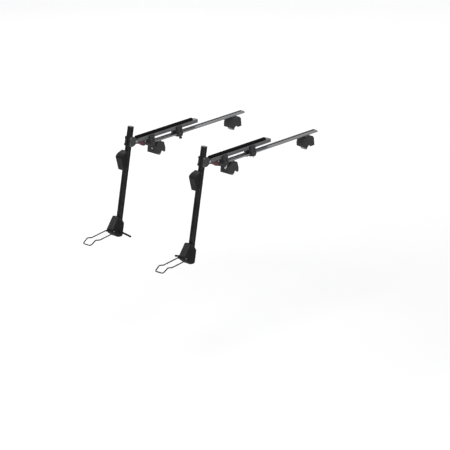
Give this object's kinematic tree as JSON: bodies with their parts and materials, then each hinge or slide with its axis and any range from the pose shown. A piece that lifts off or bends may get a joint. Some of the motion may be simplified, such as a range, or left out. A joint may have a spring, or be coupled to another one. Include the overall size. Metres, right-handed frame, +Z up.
{
  "type": "side loading roof carrier",
  "caption": "Roof carrier with aero crossbars on rail towers; each bar has a beam with a tilting, sliding arm, padded saddles and a wire hook to load a kayak or boards from the side.",
  "frame": {"origin": "middle of the rack in plan, at the height of the middle of the roof rails that it clamps", "axes": "+X towards the front of the vehicle, along the rails; +Y away from the loading side, along the crossbars; +Z up"},
  "size_m": [0.992, 2.0866, 1.0377],
  "materials": {
    "silver_aluminium": "satin anodised extrusion, darker along its top band",
    "dark_anodised": "dark grey anodised extrusion",
    "black_anodised": "black anodised extrusion",
    "black_plastic": "fine moulded grain",
    "grey_plastic": "moulded grey plastic",
    "black_coated": "black powder coat",
    "wire_black": "black dipped wire",
    "wine_red": "wine red moulded lever",
    "black_rubber": "soft black rubber",
    "cast_core": "cast and machined",
    "bright_steel": "zinc plated"
  },
  "bodies": {
    "rack": {"front_crossbar": "silver_aluminium", "rear_crossbar": "silver_aluminium", "bar_slot_strips": "black_rubber", "bar_end_caps": "black_plastic", "tower_bases": "cast_core", "tower_shells": "black_plastic", "rail_pads": "black_rubber", "tower_jaws": "cast_core", "tower_bolts": "bright_steel", "front_beam": "dark_anodised", "front_beam_track": "black_rubber", "front_beam_cap": "grey_plastic", "front_clamp_saddles": "black_plastic", "front_clamp_jaws": "black_coated", "front_clamp_bolts": "bright_steel", "front_hinge_block": "black_coated", "front_hinge_pins": "bright_steel", "rear_beam": "dark_anodised", "rear_beam_track": "black_rubber", "rear_beam_cap": "grey_plastic", "rear_clamp_saddles": "black_plastic", "rear_clamp_jaws": "black_coated", "rear_clamp_bolts": "bright_steel", "rear_hinge_block": "black_coated", "rear_hinge_pins": "bright_steel"},
    "front_carriage_body": {"front_carriage": "black_coated", "front_carriage_liners": "black_rubber"},
    "front_arm_body": {"front_arm": "black_anodised", "front_arm_caps": "grey_plastic", "front_upper_saddle": "black_plastic", "front_upper_pad": "black_rubber"},
    "front_saddle_body": {"front_lower_saddle": "black_plastic", "front_lower_pad": "black_rubber", "front_lift_handle": "black_coated"},
    "front_hook_body": {"front_loading_hook": "wire_black"},
    "front_lever_body": {"front_release_lever": "wine_red"},
    "front_outer_knob_body": {"front_outer_clamp_knob": "black_plastic"},
    "front_inner_knob_body": {"front_inner_clamp_knob": "black_plastic"},
    "rear_carriage_body": {"rear_carriage": "black_coated", "rear_carriage_liners": "black_rubber"},
    "rear_arm_body": {"rear_arm": "black_anodised", "rear_arm_caps": "grey_plastic", "rear_upper_saddle": "black_plastic", "rear_upper_pad": "black_rubber"},
    "rear_saddle_body": {"rear_lower_saddle": "black_plastic", "rear_lower_pad": "black_rubber", "rear_lift_handle": "black_coated"},
    "rear_hook_body": {"rear_loading_hook": "wire_black"},
    "rear_lever_body": {"rear_release_lever": "wine_red"},
    "rear_outer_knob_body": {"rear_outer_clamp_knob": "black_plastic"},
    "rear_inner_knob_body": {"rear_inner_clamp_knob": "black_plastic"},
    "front_near_door_body": {"front_near_door": "black_plastic"},
    "front_near_lock_body": {"front_near_lock": "bright_steel"},
    "front_far_door_body": {"front_far_door": "black_plastic"},
    "front_far_lock_body": {"front_far_lock": "bright_steel"},
    "rear_near_door_body": {"rear_near_door": "black_plastic"},
    "rear_near_lock_body": {"rear_near_lock": "bright_steel"},
    "rear_far_door_body": {"rear_far_door": "black_plastic"},
    "rear_far_lock_body": {"rear_far_lock": "bright_steel"}
  },
  "joints": [
    {"name": "front_arm_tilt", "type": "hinge", "parent": "rack", "child": "front_carriage_body", "pos_m": [0.44, -0.811, 0.177], "axis": [-1, 0, 0], "range_deg": [0, 79.2]},
    {"name": "front_arm_slide", "type": "slide", "parent": "front_carriage_body", "child": "front_arm_body", "axis": [0, 0.1874, 0.9823], "range_m": [0, 0.48]},
    {"name": "front_saddle_adjust", "type": "slide", "parent": "front_arm_body", "child": "front_saddle_body", "axis": [0, 0.1874, 0.9823], "range_m": [-0.01, 0.16]},
    {"name": "front_hook_fold", "type": "hinge", "parent": "front_saddle_body", "child": "front_hook_body", "pos_m": [0.44, -1.12412, -0.64794], "axis": [-1, 0, 0], "range_deg": [0, 106]},
    {"name": "front_lever_pull", "type": "hinge", "parent": "rack", "child": "front_lever_body", "pos_m": [0.44, -0.684, 0.147], "axis": [1, 0, 0], "range_deg": [0, 18], "stiffness_Nm_per_rad": 2, "springref_deg": -11.46},
    {"name": "front_outer_knob_turn", "type": "hinge", "parent": "rack", "child": "front_outer_knob_body", "pos_m": [0.398, -0.604, 0.08], "axis": [0, 0, 1], "range_deg": [0, 720]},
    {"name": "front_inner_knob_turn", "type": "hinge", "parent": "rack", "child": "front_inner_knob_body", "pos_m": [0.398, -0.239, 0.08], "axis": [0, 0, 1], "range_deg": [0, 720]},
    {"name": "rear_arm_tilt", "type": "hinge", "parent": "rack", "child": "rear_carriage_body", "pos_m": [-0.44, -0.811, 0.177], "axis": [-1, 0, 0], "range_deg": [0, 79.2]},
    {"name": "rear_arm_slide", "type": "slide", "parent": "rear_carriage_body", "child": "rear_arm_body", "axis": [0, 0.1874, 0.9823], "range_m": [0, 0.48]},
    {"name": "rear_saddle_adjust", "type": "slide", "parent": "rear_arm_body", "child": "rear_saddle_body", "axis": [0, 0.1874, 0.9823], "range_m": [-0.06, 0.11]},
    {"name": "rear_hook_fold", "type": "hinge", "parent": "rear_saddle_body", "child": "rear_hook_body", "pos_m": [-0.44, -1.11476, -0.59882], "axis": [-1, 0, 0], "range_deg": [0, 106]},
    {"name": "rear_lever_pull", "type": "hinge", "parent": "rack", "child": "rear_lever_body", "pos_m": [-0.44, -0.684, 0.147], "axis": [1, 0, 0], "range_deg": [0, 18], "stiffness_Nm_per_rad": 2, "springref_deg": -11.46},
    {"name": "rear_outer_knob_turn", "type": "hinge", "parent": "rack", "child": "rear_outer_knob_body", "pos_m": [-0.398, -0.604, 0.08], "axis": [0, 0, 1], "range_deg": [0, 720]},
    {"name": "rear_inner_knob_turn", "type": "hinge", "parent": "rack", "child": "rear_inner_knob_body", "pos_m": [-0.398, -0.239, 0.08], "axis": [0, 0, 1], "range_deg": [0, 720]},
    {"name": "front_near_door_open", "type": "hinge", "parent": "rack", "child": "front_near_door_body", "pos_m": [0.44, -0.571, 0.019], "axis": [1, 0, 0], "range_deg": [0, 100]},
    {"name": "front_near_lock_turn", "type": "hinge", "parent": "front_near_door_body", "child": "front_near_lock_body", "pos_m": [0.44, -0.567, 0.052], "axis": [0, -0.9945, 0.1045], "range_deg": [0, 90]},
    {"name": "front_far_door_open", "type": "hinge", "parent": "rack", "child": "front_far_door_body", "pos_m": [0.44, 0.571, 0.019], "axis": [-1, 0, 0], "range_deg": [0, 100]},
    {"name": "front_far_lock_turn", "type": "hinge", "parent": "front_far_door_body", "child": "front_far_lock_body", "pos_m": [0.44, 0.567, 0.052], "axis": [0, 0.9945, 0.1045], "range_deg": [0, 90]},
    {"name": "rear_near_door_open", "type": "hinge", "parent": "rack", "child": "rear_near_door_body", "pos_m": [-0.44, -0.571, 0.019], "axis": [1, 0, 0], "range_deg": [0, 100]},
    {"name": "rear_near_lock_turn", "type": "hinge", "parent": "rear_near_door_body", "child": "rear_near_lock_body", "pos_m": [-0.44, -0.567, 0.052], "axis": [0, -0.9945, 0.1045], "range_deg": [0, 90]},
    {"name": "rear_far_door_open", "type": "hinge", "parent": "rack", "child": "rear_far_door_body", "pos_m": [-0.44, 0.571, 0.019], "axis": [-1, 0, 0], "range_deg": [0, 100]},
    {"name": "rear_far_lock_turn", "type": "hinge", "parent": "rear_far_door_body", "child": "rear_far_lock_body", "pos_m": [-0.44, 0.567, 0.052], "axis": [0, 0.9945, 0.1045], "range_deg": [0, 90]}
  ]
}
